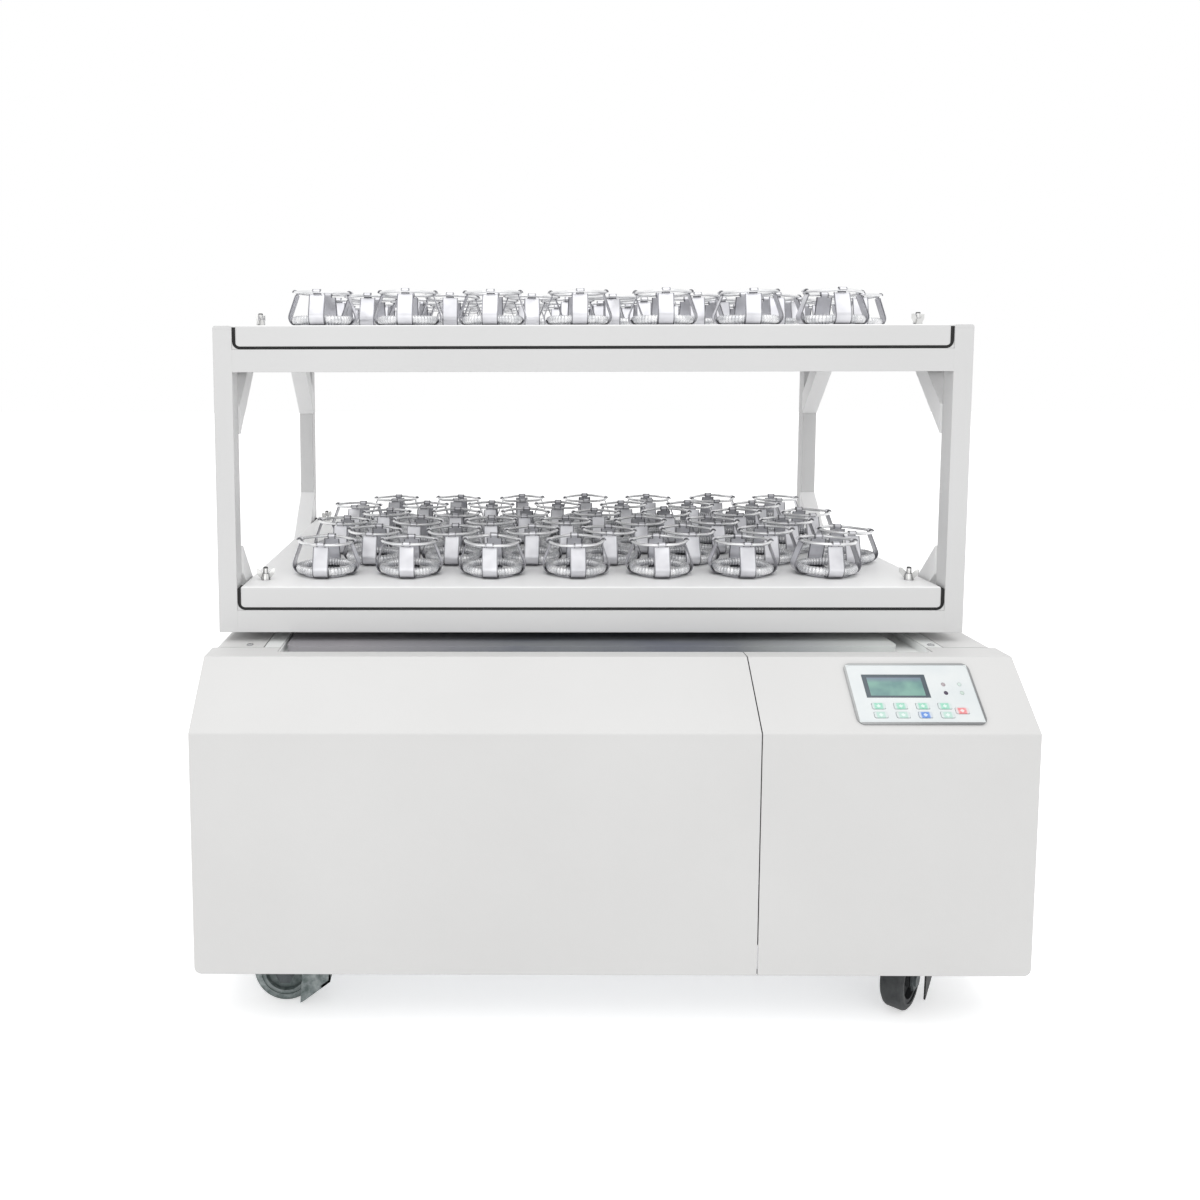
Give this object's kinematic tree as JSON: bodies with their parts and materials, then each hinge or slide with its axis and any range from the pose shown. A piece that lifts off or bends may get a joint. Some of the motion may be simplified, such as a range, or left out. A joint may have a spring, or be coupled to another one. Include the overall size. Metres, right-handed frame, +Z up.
{
  "type": "large orbital flask shaker",
  "caption": "Open-air orbital shaker cabinet on casters, with a sloped control panel and a double-deck rack of flask clamps on its orbiting platform.",
  "frame": {"origin": "on the floor under the middle of the cabinet's box", "axes": "+Z up, -Y to the front with the control panel, +X to the right as seen from the front"},
  "size_m": [0.93, 0.77, 0.8432],
  "materials": {
    "cabinet_paint": "pale warm grey powder coat, fine orange peel",
    "deck_paint": "grey-green powder coat",
    "rack_paint": "pale grey powder coat",
    "tray_paint": "pale grey powder coat",
    "frame_steel": "dark grey primer",
    "zinc_steel": "zinc plated",
    "bright_steel": "bright",
    "clamp_steel": "cold rolled stainless sheet",
    "ring_steel": "drawn stainless wire",
    "thumbscrew_chrome": "plated",
    "bearing_steel": "ground",
    "cast_housing": "painted casting",
    "pulley_aluminium": "turned",
    "platform_aluminium": "dull anodised plate",
    "motor_paint": "black enamel",
    "belt_rubber": "matt",
    "circuit_board": "solder resist",
    "black_plastic": "fine texture",
    "panel_film": "printed film, satin",
    "screen_glass": "reflective display",
    "lamp_lens": "small lens",
    "key_green": "soft key",
    "key_blue": "soft key",
    "key_red": "soft key",
    "wheel_rubber": "dark grey tread",
    "caster_plastic": "black moulding"
  },
  "bodies": {
    "base": {"base_rails": "frame_steel", "bottom_plate": "zinc_steel", "mounting_plate": "frame_steel", "front_cover": "cabinet_paint", "control_cover": "cabinet_paint", "left_side_panel": "cabinet_paint", "right_side_panel": "cabinet_paint", "rear_panel": "cabinet_paint", "deck_plate": "deck_paint", "main_bearing_housing": "cast_housing", "idler_housings": "cast_housing", "shaft_bearings": "bearing_steel", "motor": "motor_paint", "drive_belt": "belt_rubber", "power_supply": "zinc_steel", "control_board": "circuit_board", "power_entry": "black_plastic", "panel_overlay": "panel_film", "lcd_screen": "screen_glass", "indicator_lights": "lamp_lens", "cover_screws": "bright_steel", "caster_plates": "zinc_steel", "rear_caster_forks": "zinc_steel"},
    "main_crank": {"main_crankshaft": "bearing_steel", "main_pulley": "pulley_aluminium", "counterweight": "cast_housing"},
    "idler_1": {"idler_crank_1": "bearing_steel"},
    "idler_2": {"idler_crank_2": "bearing_steel"},
    "idler_3": {"idler_crank_3": "bearing_steel"},
    "motor_rotor": {"motor_pulley": "pulley_aluminium"},
    "platform": {"drive_platform": "platform_aluminium", "platform_hubs": "pulley_aluminium", "rack_fasteners": "bright_steel", "rack_frame": "rack_paint", "rack_braces": "rack_paint", "upper_tray": "tray_paint", "lower_tray": "tray_paint", "upper_flask_clamps": "clamp_steel", "lower_flask_clamps": "clamp_steel", "clamp_rings": "ring_steel", "clamp_screws": "bright_steel", "tray_thumbscrews": "thumbscrew_chrome"},
    "front_left_caster": {"front_left_caster_fork": "zinc_steel"},
    "front_left_roller": {"front_left_wheel": "wheel_rubber"},
    "front_left_brake": {"front_left_brake_pedal": "caster_plastic"},
    "front_right_caster": {"front_right_caster_fork": "zinc_steel"},
    "front_right_roller": {"front_right_wheel": "wheel_rubber"},
    "front_right_brake": {"front_right_brake_pedal": "caster_plastic"},
    "rear_left_roller": {"rear_left_wheel": "wheel_rubber"},
    "rear_right_roller": {"rear_right_wheel": "wheel_rubber"},
    "key_1_button": {"key_1": "key_green"},
    "key_2_button": {"key_2": "key_green"},
    "key_3_button": {"key_3": "key_green"},
    "key_4_button": {"key_4": "key_green"},
    "key_5_button": {"key_5": "key_green"},
    "key_6_button": {"key_6": "key_green"},
    "key_7_button": {"key_7": "key_blue"},
    "key_8_button": {"key_8": "key_green"},
    "key_stop_button": {"key_stop": "key_red"},
    "mains_switch": {"mains_rocker_switch": "black_plastic"}
  },
  "joints": [
    {"name": "main_crank_turn", "type": "hinge", "parent": "base", "child": "main_crank", "pos_m": [0, 0.035, 0.3], "axis": [0, 0, 1], "continuous": true},
    {"name": "platform_orbit", "type": "hinge", "parent": "main_crank", "child": "platform", "pos_m": [-0.013, 0.035, 0.38], "axis": [0, 0, 1], "continuous": true},
    {"name": "idler_1_turn", "type": "hinge", "parent": "base", "child": "idler_1", "pos_m": [0, 0.275, 0.33], "axis": [0, 0, 1], "continuous": true},
    {"name": "idler_2_turn", "type": "hinge", "parent": "base", "child": "idler_2", "pos_m": [-0.20785, -0.085, 0.33], "axis": [0, 0, 1], "continuous": true},
    {"name": "idler_3_turn", "type": "hinge", "parent": "base", "child": "idler_3", "pos_m": [0.20785, -0.085, 0.33], "axis": [0, 0, 1], "continuous": true},
    {"name": "motor_turn", "type": "hinge", "parent": "base", "child": "motor_rotor", "pos_m": [-0.23, 0.035, 0.3], "axis": [0, 0, 1], "continuous": true},
    {"name": "front_left_swivel", "type": "hinge", "parent": "base", "child": "front_left_caster", "pos_m": [-0.357, -0.315, 0.095], "axis": [0, 0, 1], "continuous": true},
    {"name": "front_left_roll", "type": "hinge", "parent": "front_left_caster", "child": "front_left_roller", "pos_m": [-0.375, -0.315, 0.0375], "axis": [0, 1, 0], "continuous": true},
    {"name": "front_left_brake_press", "type": "hinge", "parent": "front_left_caster", "child": "front_left_brake", "pos_m": [-0.343, -0.315, 0.066], "axis": [0, 1, 0], "range_deg": [0, 9]},
    {"name": "front_right_swivel", "type": "hinge", "parent": "base", "child": "front_right_caster", "pos_m": [0.357, -0.315, 0.095], "axis": [0, 0, 1], "continuous": true},
    {"name": "front_right_roll", "type": "hinge", "parent": "front_right_caster", "child": "front_right_roller", "pos_m": [0.34543, -0.32879, 0.0375], "axis": [-0.766, 0.6428, 0], "continuous": true},
    {"name": "front_right_brake_press", "type": "hinge", "parent": "front_right_caster", "child": "front_right_brake", "pos_m": [0.366, -0.30428, 0.066], "axis": [-0.766, 0.6428, 0], "range_deg": [0, 9]},
    {"name": "rear_left_roll", "type": "hinge", "parent": "base", "child": "rear_left_roller", "pos_m": [-0.357, 0.315, 0.0375], "axis": [1, 0, 0], "continuous": true},
    {"name": "rear_right_roll", "type": "hinge", "parent": "base", "child": "rear_right_roller", "pos_m": [0.357, 0.315, 0.0375], "axis": [1, 0, 0], "continuous": true},
    {"name": "key_1_press", "type": "slide", "parent": "base", "child": "key_1_button", "axis": [0, 0.6912, -0.7226], "range_m": [0, 0.0005], "stiffness_N_per_m": 400},
    {"name": "key_2_press", "type": "slide", "parent": "base", "child": "key_2_button", "axis": [0, 0.6912, -0.7226], "range_m": [0, 0.0005], "stiffness_N_per_m": 400},
    {"name": "key_3_press", "type": "slide", "parent": "base", "child": "key_3_button", "axis": [0, 0.6912, -0.7226], "range_m": [0, 0.0005], "stiffness_N_per_m": 400},
    {"name": "key_4_press", "type": "slide", "parent": "base", "child": "key_4_button", "axis": [0, 0.6912, -0.7226], "range_m": [0, 0.0005], "stiffness_N_per_m": 400},
    {"name": "key_5_press", "type": "slide", "parent": "base", "child": "key_5_button", "axis": [0, 0.6912, -0.7226], "range_m": [0, 0.0005], "stiffness_N_per_m": 400},
    {"name": "key_6_press", "type": "slide", "parent": "base", "child": "key_6_button", "axis": [0, 0.6912, -0.7226], "range_m": [0, 0.0005], "stiffness_N_per_m": 400},
    {"name": "key_7_press", "type": "slide", "parent": "base", "child": "key_7_button", "axis": [0, 0.6912, -0.7226], "range_m": [0, 0.0005], "stiffness_N_per_m": 400},
    {"name": "key_8_press", "type": "slide", "parent": "base", "child": "key_8_button", "axis": [0, 0.6912, -0.7226], "range_m": [0, 0.0005], "stiffness_N_per_m": 400},
    {"name": "key_stop_press", "type": "slide", "parent": "base", "child": "key_stop_button", "axis": [0, 0.6912, -0.7226], "range_m": [0, 0.0005], "stiffness_N_per_m": 400},
    {"name": "mains_rocker_tilt", "type": "hinge", "parent": "base", "child": "mains_switch", "pos_m": [-0.33, 0.3785, 0.214], "axis": [1, 0, 0], "range_deg": [0, 8]}
  ],
  "couplings": [
    {"joint": "platform_orbit", "follows": "main_crank_turn", "ratio": -1},
    {"joint": "idler_1_turn", "follows": "main_crank_turn", "ratio": 1},
    {"joint": "idler_2_turn", "follows": "main_crank_turn", "ratio": 1},
    {"joint": "idler_3_turn", "follows": "main_crank_turn", "ratio": 1},
    {"joint": "motor_turn", "follows": "main_crank_turn", "ratio": 3.3333}
  ]
}
